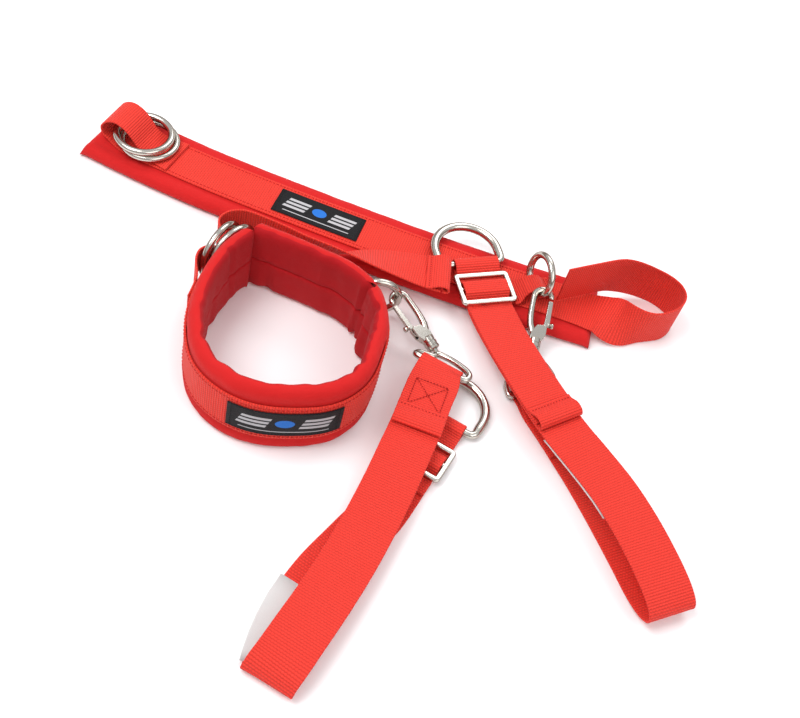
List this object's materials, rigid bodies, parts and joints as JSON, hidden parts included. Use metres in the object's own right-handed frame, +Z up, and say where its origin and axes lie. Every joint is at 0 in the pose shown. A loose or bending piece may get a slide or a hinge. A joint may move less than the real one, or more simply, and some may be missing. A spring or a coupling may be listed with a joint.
{
  "type": "padded arm restraint pair",
  "caption": "Padded webbing cuffs for the upper arms with ring closures, each with a looped webbing tether on a swivel trigger snap, a bar slide and a D-ring.",
  "frame": {"origin": "centre of the footprint, at the level of the table that the pair lies on", "axes": "+X runs along the open cuff towards its closing tail, +Y away from the tethers' far ends, +Z up"},
  "size_m": [0.5498, 0.458, 0.066],
  "materials": {
    "cover": "plain woven nylon",
    "foam": "soft foam",
    "lining": "smooth woven lining",
    "webbing": "ribbed polyester webbing",
    "label": "fine woven label",
    "tag": "satin tape",
    "nickel": "polished nickel plate",
    "spring_steel": "drawn wire"
  },
  "bodies": {
    "restraints": {"cuff_cover_a": "cover", "cuff_foam_a": "foam", "cuff_lining_a": "lining", "band_strap_a": "webbing", "woven_label_a": "label", "ring_keeper_a": "webbing", "cuff_cover_b": "cover", "cuff_foam_b": "foam", "cuff_lining_b": "lining", "band_strap_b": "webbing", "woven_label_b": "label", "ring_keeper_b": "webbing", "tether_strap_b": "webbing", "blank_tag_b": "tag", "swivel_eye_b": "nickel"},
    "o_ring_outer_a": {"o_ring_outer_a": "nickel"},
    "o_ring_inner_a": {"o_ring_inner_a": "nickel"},
    "o_ring_lower_b": {"o_ring_lower_b": "nickel"},
    "o_ring_upper_b": {"o_ring_upper_b": "nickel"},
    "tether_ring_a": {"tether_ring_a": "nickel"},
    "snap_a": {"snap_hook_a": "nickel", "trigger_pin_a": "nickel", "trigger_spring_a": "spring_steel"},
    "trigger_a": {"snap_trigger_a": "nickel"},
    "eye_a": {"swivel_eye_a": "nickel"},
    "tether_a": {"tether_strap_a": "webbing", "blank_tag_a": "tag"},
    "slide_a": {"slide_a": "nickel"},
    "d_ring_a": {"d_ring_a": "nickel"},
    "tether_ring_b": {"tether_ring_b": "nickel"},
    "snap_b": {"snap_hook_b": "nickel", "trigger_pin_b": "nickel", "trigger_spring_b": "spring_steel"},
    "trigger_b": {"snap_trigger_b": "nickel"},
    "slide_b": {"slide_b": "nickel"},
    "d_ring_b": {"d_ring_b": "nickel"}
  },
  "joints": [
    {"name": "tether_ring_swing_a", "type": "hinge", "parent": "restraints", "child": "tether_ring_a", "pos_m": [-0.01679, 0.08721, 0.025], "axis": [0, 0, 1], "range_deg": [-5, 5]},
    {"name": "snap_lift_a", "type": "hinge", "parent": "tether_ring_a", "child": "snap_a", "pos_m": [0.01522, 0.09523, 0.025], "axis": [-0.5892, -0.808, 0], "range_deg": [0, 25]},
    {"name": "trigger_a", "type": "hinge", "parent": "snap_a", "child": "trigger_a", "pos_m": [0.03691, 0.07422, 0.01683], "axis": [0.2218, -0.1461, 0.9641], "range_deg": [-14, 0], "stiffness_Nm_per_rad": 0.01},
    {"name": "eye_swivel_a", "type": "hinge", "parent": "snap_a", "child": "eye_a", "pos_m": [0.01522, 0.09523, 0.025], "axis": [-0.779, 0.5681, 0.2653], "range_deg": [0, 45]},
    {"name": "tether_hinge_a", "type": "hinge", "parent": "eye_a", "child": "tether_a", "pos_m": [0.06171, 0.04741, 0.0173], "axis": [-0.9682, 0.2501, 0], "range_deg": [0, 45]},
    {"name": "slide_adjust_a", "type": "slide", "parent": "tether_a", "child": "slide_a", "axis": [0.27, 0.9629, 0], "range_m": [-0.002, 0.0005]},
    {"name": "d_ring_hinge_a", "type": "hinge", "parent": "tether_a", "child": "d_ring_a", "pos_m": [0.07343, 0.00998, 0.0052], "axis": [0.9629, -0.27, 0], "range_deg": [0, 4]},
    {"name": "o_ring_outer_swing_a", "type": "hinge", "parent": "restraints", "child": "o_ring_outer_a", "pos_m": [-0.13279, 0.06081, 0.033], "axis": [0, 0, 1], "range_deg": [-3, 3]},
    {"name": "o_ring_inner_swing_a", "type": "hinge", "parent": "restraints", "child": "o_ring_inner_a", "pos_m": [-0.12739, 0.06381, 0.033], "axis": [0, 0, 1], "range_deg": [-3, 3]},
    {"name": "o_ring_upper_lift_b", "type": "hinge", "parent": "restraints", "child": "o_ring_upper_b", "pos_m": [-0.24939, 0.19281, 0.0239], "axis": [-0.2099, -0.9777, 0], "range_deg": [0, 70]},
    {"name": "o_ring_lower_lift_b", "type": "hinge", "parent": "restraints", "child": "o_ring_lower_b", "pos_m": [-0.24479, 0.19281, 0.0184], "axis": [-0.2099, -0.9777, 0], "range_deg": [0, 70]},
    {"name": "tether_ring_turn_b", "type": "hinge", "parent": "restraints", "child": "tether_ring_b", "pos_m": [0.11868, 0.15425, 0.03525], "axis": [-0.8529, -0.4924, 0.1734], "range_deg": [-90, 90]},
    {"name": "snap_swivel_b", "type": "hinge", "parent": "restraints", "child": "snap_b", "pos_m": [0.12511, 0.14069, 0.02838], "axis": [0.061, -0.9369, -0.3442], "range_deg": [-12, 7]},
    {"name": "trigger_b", "type": "hinge", "parent": "snap_b", "child": "trigger_b", "pos_m": [0.1312, 0.11189, 0.0178], "axis": [0, 0.3448, -0.9387], "range_deg": [-14, 0], "stiffness_Nm_per_rad": 0.01},
    {"name": "slide_adjust_b", "type": "slide", "parent": "restraints", "child": "slide_b", "axis": [-0.4699, 0.8827, 0], "range_m": [-0.002, 0.0005]},
    {"name": "d_ring_hinge_b", "type": "hinge", "parent": "restraints", "child": "d_ring_b", "pos_m": [0.06633, 0.162, 0.0188], "axis": [0.8827, 0.4699, 0], "range_deg": [0, 46]}
  ],
  "couplings": [
    {"joint": "o_ring_lower_lift_b", "follows": "o_ring_upper_lift_b", "ratio": 1}
  ]
}
